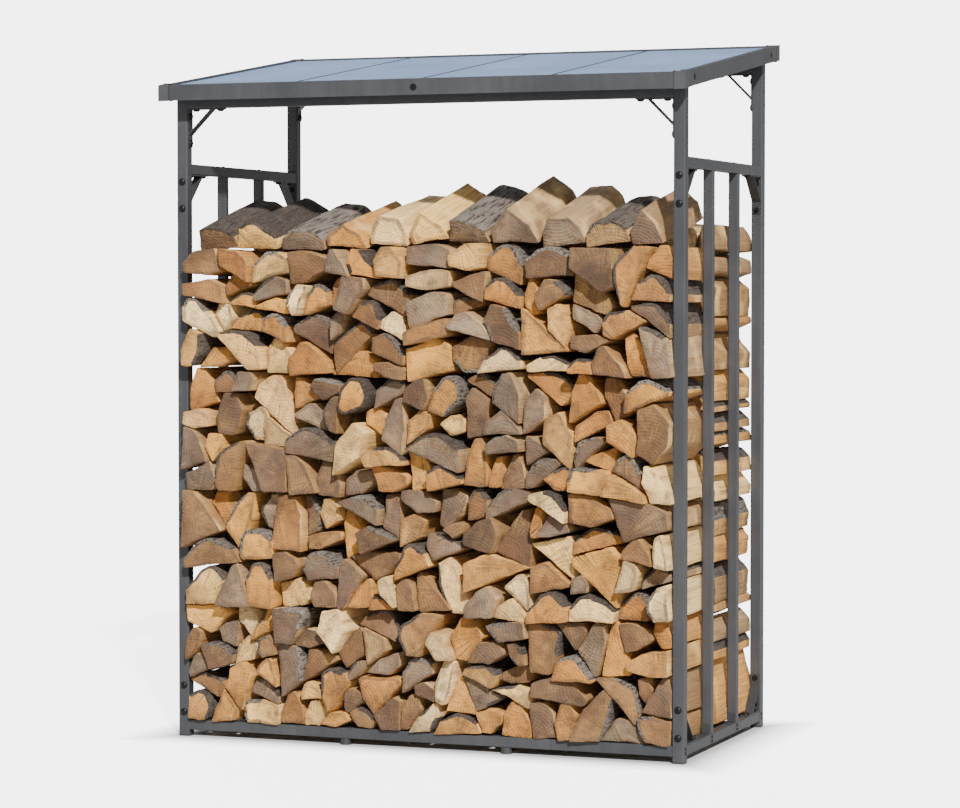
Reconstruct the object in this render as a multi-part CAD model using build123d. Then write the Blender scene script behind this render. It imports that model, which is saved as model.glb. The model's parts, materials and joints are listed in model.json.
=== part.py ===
from build123d import *
import math
import os
import random

# Open log store: a bolted frame of square tube with slatted sides, a lean-to roof of four sheets
# in a rail frame, and the split firewood stacked in it, two logs deep.
# Millimetres, X to the right, Y to the back, Z up. The origin is on the ground, midway between the posts.

# Posts and the rails between them
frame_width = 1390          # over the outer faces of the posts
frame_depth = 720
post_size = 30
rail_size = 27
corner_ease = 2.5           # rounding of the tubes' long edges, bevel of the slats' and caps'
rail_lift = 17              # ground to the underside of the bottom rails
upper_rail_drop = 201       # front edge of the roof to the tops of the upper rails
foot_cap_height = 5
foot_diameter = 29

# Slats of the two sides
slat_width = 27
slat_thickness = 18
slats_per_side = 2

# Corner brackets of bent strip
bracket_leg = 100
bracket_reach = 72          # corner to the place where the diagonal meets a leg
bracket_width = 25
bracket_thickness = 3

# Roof
roof_overhang = 65          # rails over the posts, at the front and the back
roof_front_height = 1704
roof_back_height = 1830
roof_rail_width = 20
roof_rail_height = 40
panel_count = 4
panel_thickness = 6
panel_recess = 4            # top of the rails to the top of the sheets
panel_clearance = 0.5
seam_width = 4
seam_proud = 1              # the strip between two sheets over the sheets
rafter_width = 25
cap_leg = 29
cap_proud = 1               # the corner caps over the rails

# Firewood
log_width = 85              # side of the square that has the area of a usual log end
log_gap = 0.3               # between neighbouring logs
log_end_spread = 14         # unevenness of the hidden log ends
row_gap = 30                # between the two rows
bay_clearance = 2           # between the stack and the posts
stack_headroom = 283        # front ends of the top logs to the front header
back_row_rise = 85          # back row over the front row, so that the top logs lean on it
tier_unevenness = 24        # rise and fall of the lines between the tiers
front_overhang = 60         # most that a log end stands out in front of the posts
front_overhang_spread = 66
top_setback = 24            # front ends of the top logs behind the front of the posts
top_setback_spread = 30
top_lap = 16                # top logs over the front edge of the back row
row_setback = 8             # back ends of the back row, inside the posts
tiers_per_row = 4
stack_seed = 11

# How the stack is split into log ends
area_spread_share = 0.4
cut_place_share = 0.14      # how far a cut strays from the middle of what it splits
cut_tilt = 44               # degrees that a cut leans at most
cut_tries = 14
stout_share = 0.29          # a cut is taken if both its halves are at least this stout
back_tier_share = 0.5       # height of the lowest tier of the back row, so that no joint runs right through
bark_share = 0.86           # logs that keep a bark side, the rest are inner billets
bark_turn_share = 0.9       # how freely the bark side turns away from the top
bark_flat_share = 0.3       # part of the bark side that lies against the next log
bark_round_shares = (0.34, 0.66)
billet_corner_share = 0.3
knot_shares = ((-0.6, -0.1, 0.4), (-0.35, 0.15, 0.65))   # bends of the lines, in turn
knot_stray_share = 0.05
top_width_shares = (1.05, 1.6)
top_height_shares = (0.75, 1.15)
half_round_shares = ((-0.5, 0), (0.5, 0), (0.47, 0.45), (0.28, 0.86), (-0.28, 0.92), (-0.46, 0.5))
quarter_shares = ((-0.5, 0), (0.5, 0), (0.44, 0.48), (0.16, 0.88), (-0.3, 1), (-0.44, 0.9))
billet_shares = ((-0.5, 0), (0.48, 0), (0.5, 0.36), (-0.06, 1), (-0.42, 0.72))
wedge_shares = ((-0.46, 0), (0.5, 0), (0.34, 0.5), (-0.1, 0.96), (-0.5, 0.34))

# Places that follow from the sizes above
post_x = (frame_width - post_size) / 2
post_y = (frame_depth - post_size) / 2
clear_width = frame_width - 2 * post_size
clear_depth = frame_depth - 2 * post_size
bottom_rail_top = rail_lift + rail_size
upper_rail_top = roof_front_height - upper_rail_drop
upper_rail_bottom = upper_rail_top - rail_size
roof_width = frame_width + 2 * roof_rail_width
roof_depth = frame_depth + 2 * roof_overhang
panel_underside = panel_recess + panel_thickness
slat_gap = (clear_depth - slats_per_side * slat_thickness) / (slats_per_side + 1)
slat_ys = [
    -clear_depth / 2 + slat_gap + slat_thickness / 2 + i * (slat_gap + slat_thickness)
    for i in range(slats_per_side)
]
slat_x = (frame_width - slat_width) / 2
inner_roof_depth = roof_depth - 2 * roof_rail_width
panel_pitch = frame_width / panel_count
seam_xs = [i * panel_pitch - frame_width / 2 for i in range(1, panel_count)]
row_middle = -(front_overhang + row_setback) / 4
sides = {"left": -1, "right": 1}
ends = {"front": -1, "back": 1}

os.makedirs("parts", exist_ok=True)


def write(name, *solids):
    shape = solids[0] if len(solids) == 1 else Compound(children=list(solids))
    export_step(shape, os.path.join("parts", name + ".step"))


def roof_height(y):
    """Height of the top of the roof rails at depth y."""
    rise = roof_back_height - roof_front_height
    return roof_front_height + rise * (y + roof_depth / 2) / roof_depth


def tube(center, size, axis):
    """Closed square tube with rounded long edges."""
    body = Pos(*center) * Box(*size)
    return fillet(body.edges().filter_by(axis), corner_ease)


def upright_strip(center, size):
    """Upright piece with bevelled edges."""
    body = Pos(*center) * Box(*size)
    return chamfer(body.edges().filter_by(Axis.Z), corner_ease)


def sloped_bar(x_min, x_max, y_min, y_max, top_drop, bottom_drop):
    """Bar that follows the roof: its top and bottom lie at drops under the tops of the rails."""
    outline = [
        (y_min, roof_height(y_min) - bottom_drop),
        (y_max, roof_height(y_max) - bottom_drop),
        (y_max, roof_height(y_max) - top_drop),
        (y_min, roof_height(y_min) - top_drop),
    ]
    face = Plane.YZ.offset(x_min) * Polygon(*outline, align=None)
    return extrude(face, amount=x_max - x_min)


# Posts, cut square where their front edge meets the underside of the roof sheets
def post(side, end):
    front_face = end * post_y - post_size / 2
    top = roof_height(front_face) - panel_underside
    height = top - foot_cap_height
    center = (side * post_x, end * post_y, foot_cap_height + height / 2)
    return tube(center, (post_size, post_size, height), Axis.Z)


def foot_cap(side, end):
    return upright_strip(
        (side * post_x, end * post_y, foot_cap_height / 2), (post_size, post_size, foot_cap_height)
    )


# Rails at the bottom, under the tops of the sides and under the roof
def cross_rail(y, bottom, length):
    return tube((0, y, bottom + rail_size / 2), (length, rail_size, rail_size), Axis.X)


def side_rail(side, bottom):
    return tube((side * post_x, 0, bottom + rail_size / 2), (rail_size, clear_depth, rail_size), Axis.Y)


def header_bottom(end):
    front_face = end * post_y - rail_size / 2
    return roof_height(front_face) - roof_rail_height - rail_size


def foot(x, y):
    return Pos(x, y, rail_lift / 2) * Cylinder(foot_diameter / 2, rail_lift)


def slat(side, y):
    height = upper_rail_bottom - bottom_rail_top
    return upright_strip(
        (side * slat_x, y, bottom_rail_top + height / 2), (slat_width, slat_thickness, height)
    )


# Bracket with two legs at right angles and a diagonal that ties them
def bracket(corner, along, down):
    """Bracket in a corner: one leg runs along a rail, the other down or up a post."""
    leg_a = Pos(bracket_leg / 2, bracket_thickness / 2) * Rectangle(bracket_leg, bracket_thickness)
    leg_b = Pos(bracket_thickness / 2, bracket_leg / 2) * Rectangle(bracket_thickness, bracket_leg)
    inner_reach = bracket_reach - bracket_thickness * math.sqrt(2)
    diagonal = Polygon(
        (bracket_reach, 0), (0, bracket_reach), (0, inner_reach), (inner_reach, 0), align=None
    )
    strip = Plane(origin=corner, x_dir=along, z_dir=Vector(along).cross(Vector(down)))
    return extrude(strip * (leg_a + leg_b + diagonal), amount=bracket_width / 2, both=True)


def brackets_at(side, end):
    """The three brackets of one post: under the header, under the upper rail, on the bottom rail."""
    post_inner_x = side * (post_x - post_size / 2)
    post_inner_y = end * (post_y - post_size / 2)
    return [
        bracket((post_inner_x, end * post_y, header_bottom(end)), (-side, 0, 0), (0, 0, -1)),
        bracket((side * post_x, post_inner_y, upper_rail_bottom), (0, -end, 0), (0, 0, -1)),
        bracket((side * post_x, post_inner_y, bottom_rail_top), (0, -end, 0), (0, 0, 1)),
    ]


# Roof: two long rails, two side rails on the outer faces of the posts, four caps that close the corners
def roof_long_rail(end):
    outer = end * roof_depth / 2
    inner = end * inner_roof_depth / 2
    reach = roof_width / 2 + cap_proud - cap_leg
    return sloped_bar(-reach, reach, min(outer, inner), max(outer, inner), 0, roof_rail_height)


def roof_side_rail(side):
    inner = side * frame_width / 2
    outer = side * roof_width / 2
    reach = roof_depth / 2 + cap_proud - cap_leg
    return sloped_bar(min(outer, inner), max(outer, inner), -reach, reach, 0, roof_rail_height)


def roof_cap(side, end):
    """L-shaped cap: one leg carries on the side rail, the other the long rail."""
    x_outer = roof_width / 2 + cap_proud
    y_outer = roof_depth / 2 + cap_proud
    x_spans = ((frame_width / 2, x_outer), (x_outer - cap_leg, x_outer))
    y_spans = ((y_outer - cap_leg, y_outer), (inner_roof_depth / 2, y_outer))
    legs = []
    for x_span, y_span in zip(x_spans, y_spans):
        xs = sorted(side * x for x in x_span)
        ys = sorted(end * y for y in y_span)
        legs.append(sloped_bar(*xs, *ys, -cap_proud, roof_rail_height + cap_proud))
    return legs[0] + legs[1]


def roof_panel(number):
    edges = [-frame_width / 2] + seam_xs + [frame_width / 2]
    margin = seam_width / 2 + panel_clearance
    first = number == 0
    last = number == panel_count - 1
    x_min = edges[number] + (panel_clearance if first else margin)
    x_max = edges[number + 1] - (panel_clearance if last else margin)
    reach = inner_roof_depth / 2 - panel_clearance
    return sloped_bar(x_min, x_max, -reach, reach, panel_recess, panel_underside)


def rafter(x):
    reach = inner_roof_depth / 2
    return sloped_bar(
        x - rafter_width / 2, x + rafter_width / 2, -reach, reach, panel_underside, roof_rail_height
    )


def seam_strip(x):
    reach = inner_roof_depth / 2 - panel_clearance
    return sloped_bar(
        x - seam_width / 2, x + seam_width / 2, -reach, reach, panel_recess - seam_proud, panel_underside
    )


# Firewood: ends of the logs, seen from the front, as outlines in X and Z
def clipped(points, place, normal):
    """Part of a convex outline that lies on the far side of a line, where its normal points."""
    depths = [(x - place[0]) * normal[0] + (z - place[1]) * normal[1] for x, z in points]
    kept = []
    for i, (point, depth) in enumerate(zip(points, depths)):
        before, before_depth = points[i - 1], depths[i - 1]
        if (depth < 0) != (before_depth < 0):
            t = before_depth / (before_depth - depth)
            kept.append(tuple(a + (b - a) * t for a, b in zip(before, point)))
        if depth >= 0:
            kept.append(point)
    return kept


def area_and_centre(points):
    doubled, cx, cz = 0, 0, 0
    for (xa, za), (xb, zb) in zip(points, points[1:] + points[:1]):
        cross = xa * zb - xb * za
        doubled += cross
        cx += (xa + xb) * cross
        cz += (za + zb) * cross
    return doubled / 2, (cx / (3 * doubled), cz / (3 * doubled))


def stoutness(points):
    """Area over the square of the greatest width: small for a sliver."""
    return area_and_centre(points)[0] / max(math.dist(a, b) for a in points for b in points) ** 2


def split_cells(points, dice):
    """Outline split across its longer side, again and again, into cells of about one log end."""
    area, centre = area_and_centre(points)
    if area < log_width**2 * dice.uniform(1 - area_spread_share, 1 + area_spread_share) * math.sqrt(2):
        return [points]
    sizes = [max(p[i] for p in points) - min(p[i] for p in points) for i in (0, 1)]
    across = 0 if sizes[0] > sizes[1] else 90
    best = (0, None)
    for _ in range(cut_tries):
        angle = math.radians(across + dice.uniform(-cut_tilt, cut_tilt))
        normal = (math.cos(angle), math.sin(angle))
        stray = dice.uniform(-cut_place_share, cut_place_share) * max(sizes)
        place = (centre[0] + normal[0] * stray, centre[1] + normal[1] * stray)
        halves = [clipped(points, place, normal), clipped(points, place, (-normal[0], -normal[1]))]
        worth = min(stoutness(half) for half in halves)
        if worth > best[0]:
            best = (worth, halves)
        if worth > stout_share:
            break
    return [cell for half in best[1] for cell in split_cells(half, dice)]


def shrunk(points, margin):
    """Convex outline with every edge moved in by the margin."""
    inner = points
    for a, b in zip(points, points[1:] + points[:1]):
        length = math.dist(a, b)
        normal = ((a[1] - b[1]) / length, (b[0] - a[0]) / length)
        inner = clipped(inner, (a[0] + normal[0] * margin, a[1] + normal[1] * margin), normal)
    return inner


def between(a, b, share):
    return (a[0] + (b[0] - a[0]) * share, a[1] + (b[1] - a[1]) * share)


def bark_edge(points, dice):
    """Number of the edge that keeps its bark, more often one that looks up."""
    looks_up = [(a[0] - b[0]) / math.dist(a, b) for a, b in zip(points, points[1:] + points[:1])]
    scores = [up + dice.uniform(-bark_turn_share, bark_turn_share) for up in looks_up]
    return scores.index(max(scores))


def log_outline(cell, dice):
    """Log end in a cell: flat split sides, and a bark side that is rounded off at both its ends."""
    points = shrunk(cell, log_gap / 2)
    count = len(points)
    first = bark_edge(points, dice)
    ring = points[first:] + points[:first]
    if dice.random() < bark_share:
        rounding = [dice.uniform(*bark_round_shares) for _ in range(2)]
        flat = (1 - bark_flat_share) / 2
        head = [between(ring[0], ring[-1], rounding[0]), between(ring[0], ring[1], flat)]
        tail = [between(ring[1], ring[0], flat), between(ring[1], ring[2], rounding[1])]
        if count == 3:
            tail[1] = between(ring[1], ring[2], min(rounding[1], 1 - rounding[0]))
        return head + tail + ring[2:]
    cut = [between(ring[0], ring[-1], billet_corner_share), between(ring[0], ring[1], billet_corner_share)]
    return cut + ring[1:]


# Firewood: rows of level logs, and top logs that lean on both rows
def row_height(end):
    """Height of the middle of a row: room is left over the front row for the top logs."""
    front_row_height = header_bottom(ends["front"]) - stack_headroom - log_width
    return front_row_height + (back_row_rise if end == ends["back"] else 0)


def uneven_line(number, height, half, dice):
    """Line across the bay that bends up and down at a few places."""
    shares = knot_shares[number % 2]
    knots = [half * (share + dice.uniform(-knot_stray_share, knot_stray_share)) for share in shares]
    return [(x, height + dice.uniform(-tier_unevenness, tier_unevenness)) for x in (-half, *knots, half)]


def line_height(line, x):
    for (xa, za), (xb, zb) in zip(line, line[1:]):
        if xa <= x <= xb:
            return za + (zb - za) * (x - xa) / (xb - xa)


def tier_blocks(end, lowest_share, dice):
    """Tiers of a row from the bottom up, the lowest being that share of a whole one, cut into blocks."""
    tier = (row_height(end) - bottom_rail_top) / (tiers_per_row - 1 + lowest_share)
    half = clear_width / 2 - bay_clearance
    low = [(-half, bottom_rail_top), (half, bottom_rail_top)]
    tiers = []
    for number in range(tiers_per_row):
        high = uneven_line(number, bottom_rail_top + tier * (lowest_share + number), half, dice)
        xs = sorted({x for x, z in low + high})
        blocks = []
        for a, b in zip(xs, xs[1:]):
            bottom = [(a, line_height(low, a)), (b, line_height(low, b))]
            top = [(b, line_height(high, b)), (a, line_height(high, a))]
            blocks.append(bottom + top)
        tiers.append(blocks)
        low = high
    return tiers


def row_log_ends(end, height, dice):
    """Front and back of a log. Front ends stand out in front of the posts, less so near the ground."""
    inner = row_middle + end * (row_gap / 2 + dice.uniform(0, log_end_spread))
    if end == ends["back"]:
        return inner, frame_depth / 2 - row_setback - dice.uniform(0, log_end_spread)
    risen = min(1, height * tiers_per_row / row_height(end))
    return -frame_depth / 2 - risen * (front_overhang - dice.uniform(0, front_overhang_spread)), inner


def log_tiers(end, lowest_share, dice):
    """Logs of one row, in tiers from the bottom up, each as its outline, front and back."""
    tiers = []
    for blocks in tier_blocks(end, lowest_share, dice):
        logs = []
        for cell in [cell for block in blocks for cell in split_cells(block, dice)]:
            height = area_and_centre(cell)[1][1]
            logs.append((log_outline(cell, dice), *row_log_ends(end, height, dice)))
        tiers.append(logs)
    return tiers


def level_log(outline, front, back):
    end_plane = Plane(origin=(0, back, 0), x_dir=(1, 0, 0), z_dir=(0, -1, 0))
    return extrude(end_plane * Polygon(*outline, align=None), amount=back - front)


def tops_between(tiers, x_min, x_max):
    """Highest point of each log of a row between two places, with the front of that log."""
    tops = []
    for outline, front, back in [log for logs in tiers for log in logs]:
        within = clipped(clipped(outline, (x_min, 0), (1, 0)), (x_max, 0), (-1, 0))
        if within:
            tops.append((max(z for x, z in within), front))
    return tops


def top_logs(front_tiers, back_tiers, dice):
    """Logs on top, side by side: each rests on the front row and leans on the edge of the back row."""
    half = clear_width / 2 - bay_clearance
    solids = []
    x_min = -half
    while x_min < half - log_width:
        x_max = min(half, x_min + log_width * dice.uniform(*top_width_shares))
        front = -frame_depth / 2 + top_setback + dice.uniform(0, top_setback_spread)
        seat = max(top for top, log_front in tops_between(front_tiers, x_min, x_max)) + log_gap
        leans = [(top + log_gap - seat) / (y - front) for top, y in tops_between(back_tiers, x_min, x_max)]
        pitch = math.atan(max(0, *leans))
        back = row_middle + row_gap / 2 + log_end_spread + top_lap
        along = Vector(0, math.cos(pitch), math.sin(pitch))
        length = (back - front) / math.cos(pitch)
        width, height = x_max - x_min - log_gap, log_width * dice.uniform(*top_height_shares)
        shares = dice.choice([half_round_shares, quarter_shares, billet_shares, wedge_shares])
        outline = [(across * width, up * height) for across, up in shares]
        rear = Vector((x_min + x_max) / 2, front, seat) + along * length
        end_plane = Plane(origin=rear, x_dir=(1, 0, 0), z_dir=-along)
        solids.append(extrude(end_plane * Polygon(*outline, align=None), amount=length))
        x_min = x_max
    return solids


# Frame
for end_name, end in ends.items():
    for side_name, side in sides.items():
        write(f"post_{end_name}_{side_name}", post(side, end))
        write(f"brackets_{end_name}_{side_name}", *brackets_at(side, end))
    write(f"bottom_rail_{end_name}", cross_rail(end * post_y, rail_lift, clear_width))
    write(f"header_{end_name}", cross_rail(end * post_y, header_bottom(end), clear_width))
    write(f"roof_rail_{end_name}", roof_long_rail(end))
for side_name, side in sides.items():
    write(f"bottom_rail_{side_name}", side_rail(side, rail_lift))
    write(f"upper_rail_{side_name}", side_rail(side, upper_rail_bottom))
    write(f"roof_rail_{side_name}", roof_side_rail(side))
    for number, y in enumerate(slat_ys, 1):
        write(f"slat_{side_name}_{number}", slat(side, y))
for number, y in enumerate(slat_ys, 1):
    write(f"floor_rail_{number}", cross_rail(y, rail_lift, 2 * post_x - rail_size))
corners = [(side, end) for end in ends.values() for side in sides.values()]
write("post_foot_caps", *[foot_cap(side, end) for side, end in corners])
write("round_feet", *[foot(side * clear_width / 6, end * post_y) for side, end in corners])

# Roof
write("roof_corner_caps", *[roof_cap(side, end) for side, end in corners])
for number in range(panel_count):
    write(f"roof_panel_{number + 1}", roof_panel(number))
for number, x in enumerate(seam_xs, 1):
    write(f"rafter_{number}", rafter(x))
write("roof_seam_strips", *[seam_strip(x) for x in seam_xs])

# Firewood
dice = random.Random(stack_seed)
rows = {"front": log_tiers(ends["front"], 1, dice), "back": log_tiers(ends["back"], back_tier_share, dice)}
crown = top_logs(rows["front"], rows["back"], dice)
for row_name, tiers in rows.items():
    for number, logs in enumerate(tiers, 1):
        on_top = crown if row_name == "front" and number == tiers_per_row else []
        write(f"logs_{row_name}_{number}", *[level_log(*log) for log in logs], *on_top)
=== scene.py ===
import json
import math
import random

import bmesh
import bpy
from mathutils import Matrix, Vector, noise


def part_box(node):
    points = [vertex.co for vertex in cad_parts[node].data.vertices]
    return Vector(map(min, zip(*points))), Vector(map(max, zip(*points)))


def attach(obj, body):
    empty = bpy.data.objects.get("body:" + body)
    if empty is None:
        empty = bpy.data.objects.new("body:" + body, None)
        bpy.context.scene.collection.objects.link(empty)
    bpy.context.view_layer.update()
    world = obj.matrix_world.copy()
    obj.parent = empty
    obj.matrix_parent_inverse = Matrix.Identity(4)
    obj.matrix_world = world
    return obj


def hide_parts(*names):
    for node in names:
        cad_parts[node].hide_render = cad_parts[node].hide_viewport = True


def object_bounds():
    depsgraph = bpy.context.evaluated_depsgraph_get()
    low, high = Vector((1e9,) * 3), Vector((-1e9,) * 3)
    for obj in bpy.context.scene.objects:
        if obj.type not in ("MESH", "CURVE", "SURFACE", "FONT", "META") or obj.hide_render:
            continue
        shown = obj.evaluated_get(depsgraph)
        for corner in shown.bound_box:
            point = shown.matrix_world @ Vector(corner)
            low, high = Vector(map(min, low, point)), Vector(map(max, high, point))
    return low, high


# Looks of an open log store: powder-coated tube frame, tinted roof sheets, bolts and split firewood.
# Metres, in the frame of the part: X to the right, Y to the back, Z up.
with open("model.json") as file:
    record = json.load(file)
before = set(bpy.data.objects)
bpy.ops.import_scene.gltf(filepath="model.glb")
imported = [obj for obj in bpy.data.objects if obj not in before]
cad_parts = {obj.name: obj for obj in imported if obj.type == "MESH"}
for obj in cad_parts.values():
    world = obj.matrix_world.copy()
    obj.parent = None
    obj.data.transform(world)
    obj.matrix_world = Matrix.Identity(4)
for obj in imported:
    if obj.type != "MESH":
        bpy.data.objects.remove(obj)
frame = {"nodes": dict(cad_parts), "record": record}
cad_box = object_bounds()

# Camera of the photograph
camera_place = (2.957, -7.634, 1.1753)
camera_pitch = 2.129            # degrees below level
camera_yaw = 21.067
camera_lens = 115.8             # millimetres, as is the width of the sensor
sensor_width = 36
camera_reach = 200

# Light
sun_way = (-0.5, 0.8, -0.62)    # the way that the light goes
sun_strength = 8.4
sun_spread = 2.5                # degrees
fill_way = (-0.36, 0.93, -0.03)
fill_strength = 1.25
fill_spread = 20
back_way = (0.35, -0.8, -0.45)
back_strength = 2.4
back_spread = 40
sky_strength = 0.36
backdrop_strength = 5.2
floor_glow = 4.1
floor_tone = 0.5
floor_roughness = 0.9
painted_shadow_fade = 0.14               # painted shadow round the store: the glow grows over this distance
floor_reach = 30

# Finishes
coat_bump_depth = 0.0006
sheet_rib_pitch = 0.0105
year_ring_pitch = 0.0084
year_ring_wander = 0.012
sapwood_reach = 0.125           # from the pith to the bark
sawn_bump_depth = 0.003
split_bump_depth = 0.0035
bark_bump_depth = 0.006

# Fasteners
dome_sides = 16
dome_profile_shares = ((1, 0), (1, 0.22), (0.9, 0.56), (0.68, 0.83), (0.36, 0.97))
bolt_head_radius = 0.0092
bolt_head_height = 0.0055
small_head_radius = 0.0042
small_head_height = 0.0026
nut_sides = 6
nut_radius = 0.0058
nut_height = 0.005
washer_sides = 20
washer_radius = 0.0075
washer_height = 0.0012
bracket_holes = (0.02, 0.09)    # from the corner of a bracket, along a leg
bracket_thickness = 0.003
floor_rail_hole_gap = 0.011
fascia_bolt_drop = 0.002
fastener_sharp_angle = 40       # degrees

# Dark bands beside the corner caps of the roof: painted shadow lines where the caps end
cap_shadow_width = 0.003
cap_shadow_proud = 0.0007
cap_leg = 0.029

# Tabs at the feet of the slats
tab_length = 0.034
tab_rise = 0.026
tab_thickness = 0.002
tab_width = 0.022
tab_hole_share = 0.6            # of the tab's length, from the slat
tab_bevel_angle = 0.5           # radians: edges that turn more are bevelled

# Firewood: reading the logs of the part
weld_distance = 2e-5
flat_angle = 0.01               # radians: faces that turn less are one face
front_facing = 0.9              # how squarely a log's front end looks to the front

# Firewood: shape of a log
log_rings = 6                   # cuts across a log
outline_step = 0.015            # between the points of a log's outline
split_edge_round = 0.0045
split_round_share = 0.3         # of the shorter side at a corner, at most
split_corner_steps = 2
bark_edge_round = 0.03
bark_round_share = 0.48
bark_corner_steps = 4
smooth_turn = 62                # degrees: an outline that turns less than this at a corner is bark
bark_thickness = 0.009
pith_from_bark = (0.07, 0.11)
pith_from_billet = (0.05, 0.09)
end_edge_round = 0.0018
end_lean = 0.1
end_setback = 0.004
end_roughness = 0.0018
end_inner_share = 0.5           # a ring half way out on each end
end_steps = 3                   # from that ring to the edge of the end
log_askew = 0.004
roll_spread = 4.5               # degrees
roll_most = 8
log_sharp_angle = 50            # degrees

# Firewood: wear, with the grain of each roughness across and along the wood
lump_depth = 0.004
lump_grain = (13, 5)
fine_depth = 0.0035
bark_grain = (60, 34)
split_grain = (48, 6)
end_grain = (70, 1)
wear_mean = 0.3                 # of the depth
wear_swing = 0.9
wear_most = 0.3                 # of the way to the log's middle
spin_most = 90                  # moves each log to another place in the roughness
weathered_mean = 0.06
weathered_spread = 0.26
log_seed = 5


def corner(node):
    low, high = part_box(node)
    return Vector(low), Vector(high)


def middle(node):
    low, high = corner(node)
    return (low + high) / 2


# Small helpers for node trees
def feed(tree, socket, value):
    """Link a socket to an input, or set the input to a plain value."""
    if isinstance(value, bpy.types.NodeSocket):
        tree.links.new(value, socket)
    else:
        socket.default_value = value


def add_node(tree, kind, inputs=None, **settings):
    made = tree.nodes.new(kind)
    for name, value in settings.items():
        setattr(made, name, value)
    for name, value in (inputs or {}).items():
        feed(tree, made.inputs[name], value)
    return made


def math_node(tree, operation, a, b=0.0, clamp=False):
    return add_node(tree, "ShaderNodeMath", {0: a, 1: b}, operation=operation, use_clamp=clamp).outputs[0]


def times(tree, a, b):
    return math_node(tree, "MULTIPLY", a, b)


def above(tree, value, level, gain, clamp=False):
    """How far a value stands above a level, magnified."""
    return math_node(tree, "MULTIPLY", math_node(tree, "SUBTRACT", value, level, True), gain, clamp)


def mix_colour(tree, factor, a, b, blend="MIX"):
    made = add_node(tree, "ShaderNodeMix", data_type="RGBA", blend_type=blend)
    for number, value in ((0, factor), (6, a), (7, b)):
        feed(tree, made.inputs[number], value)
    return made.outputs[2]


def ramp(tree, factor, stops):
    made = add_node(tree, "ShaderNodeValToRGB", {0: factor})
    marks = made.color_ramp.elements
    while len(marks) < len(stops):
        marks.new(0.5)
    for mark, (place, colour) in zip(marks, stops):
        mark.position = place
        mark.color = colour
    return made.outputs[0]


def noise_of(tree, vector, scale, detail=3.0, roughness=0.55, distortion=0.0):
    inputs = {"Vector": vector, "Scale": scale, "Detail": detail, "Roughness": roughness,
              "Distortion": distortion}
    return add_node(tree, "ShaderNodeTexNoise", inputs).outputs[0]


def stretched(tree, vector, scale):
    return add_node(tree, "ShaderNodeMapping", {"Vector": vector, "Scale": scale}).outputs[0]


def split_vector(tree, vector):
    return add_node(tree, "ShaderNodeSeparateXYZ", {0: vector}).outputs


def joined_vector(tree, parts):
    return add_node(tree, "ShaderNodeCombineXYZ", parts).outputs[0]


def new_group(name, inputs, outputs):
    tree = bpy.data.node_groups.new(name, "ShaderNodeTree")
    for label, kind, value in inputs:
        socket = tree.interface.new_socket(label, in_out="INPUT", socket_type=kind)
        if value is not None:
            socket.default_value = value
    for label, kind in outputs:
        tree.interface.new_socket(label, in_out="OUTPUT", socket_type=kind)
    return tree, tree.nodes.new("NodeGroupInput").outputs, tree.nodes.new("NodeGroupOutput").inputs


def use_group(tree, group, inputs):
    made = tree.nodes.new("ShaderNodeGroup")
    made.node_tree = group
    for name, value in inputs.items():
        feed(tree, made.inputs[name], value)
    return made.outputs


def grey(value):
    return (value, value, value, 1)


COLOUR = "NodeSocketColor"
VALUE = "NodeSocketFloat"
VECTOR = "NodeSocketVector"


def coated_skin_group():
    """Fine pebbled skin of powder coat or moulded plastic, with cloudy tone and settled dust."""
    tree, given, put = new_group(
        "coated skin",
        [("Place", VECTOR, None), ("Tone", COLOUR, grey(0.1)), ("Dust", COLOUR, grey(0.3)),
         ("Grain", VALUE, 900.0), ("Dust amount", VALUE, 0.25), ("Roughness", VALUE, 0.5)],
        [("Colour", COLOUR), ("Roughness", VALUE), ("Height", VALUE)],
    )
    pebbles = noise_of(tree, given["Place"], scale=given["Grain"], detail=2.0)
    clouds = noise_of(tree, given["Place"], scale=7.0, detail=4.0)
    streaks = noise_of(tree, stretched(tree, given["Place"], (60, 60, 3)), scale=1.0, detail=3.0)
    dark = mix_colour(tree, 1.0, given["Tone"], grey(0.82), "MULTIPLY")
    tone = mix_colour(tree, clouds, dark, given["Tone"])
    settled = above(tree, times(tree, clouds, streaks), level=0.18, gain=given["Dust amount"])
    tree.links.new(mix_colour(tree, settled, tone, given["Dust"]), put["Colour"])
    uneven = times(tree, math_node(tree, "SUBTRACT", clouds, 0.5), 0.22)
    tree.links.new(math_node(tree, "ADD", given["Roughness"], uneven, True), put["Roughness"])
    tree.links.new(math_node(tree, "ADD", pebbles, times(tree, streaks, 0.2)), put["Height"])
    return tree


def log_tone_group():
    """Base tone of one log, from its own number: gold, cream, orange, brown, dark, greyed or drab."""
    gold = ((0.46, 0.187, 0.026, 1), (0.68, 0.315, 0.05, 1))
    cream = ((0.97, 0.7, 0.32, 1), (0.86, 0.52, 0.15, 1))
    orange = ((0.36, 0.135, 0.017, 1), (0.5, 0.205, 0.029, 1))
    brown = ((0.14, 0.063, 0.019, 1), (0.2, 0.104, 0.037, 1))
    dark = ((0.052, 0.03, 0.016, 1), (0.085, 0.053, 0.031, 1))
    greyed = ((0.15, 0.117, 0.081, 1), (0.095, 0.074, 0.053, 1))
    drab = ((0.24, 0.18, 0.116, 1), (0.2, 0.15, 0.095, 1))
    weathered_tone = (0.095, 0.062, 0.044, 1)
    tree, given, put = new_group(
        "log tone",
        [("Pick", VALUE, 0.5), ("Weathered", VALUE, 0.2)],
        [("Colour", COLOUR)],
    )
    stretches = (
        (0.0, 0.19, gold), (0.24, 0.31, cream), (0.35, 0.47, orange), (0.51, 0.63, brown),
        (0.67, 0.78, dark), (0.82, 0.91, greyed), (0.95, 1.0, drab),
    )
    stops = []
    for start, end, (first, last) in stretches:
        stops += [(start, first), (end, last)]
    fresh = ramp(tree, given["Pick"], stops)
    tree.links.new(mix_colour(tree, given["Weathered"], fresh, weathered_tone), put["Colour"])
    return tree


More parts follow.
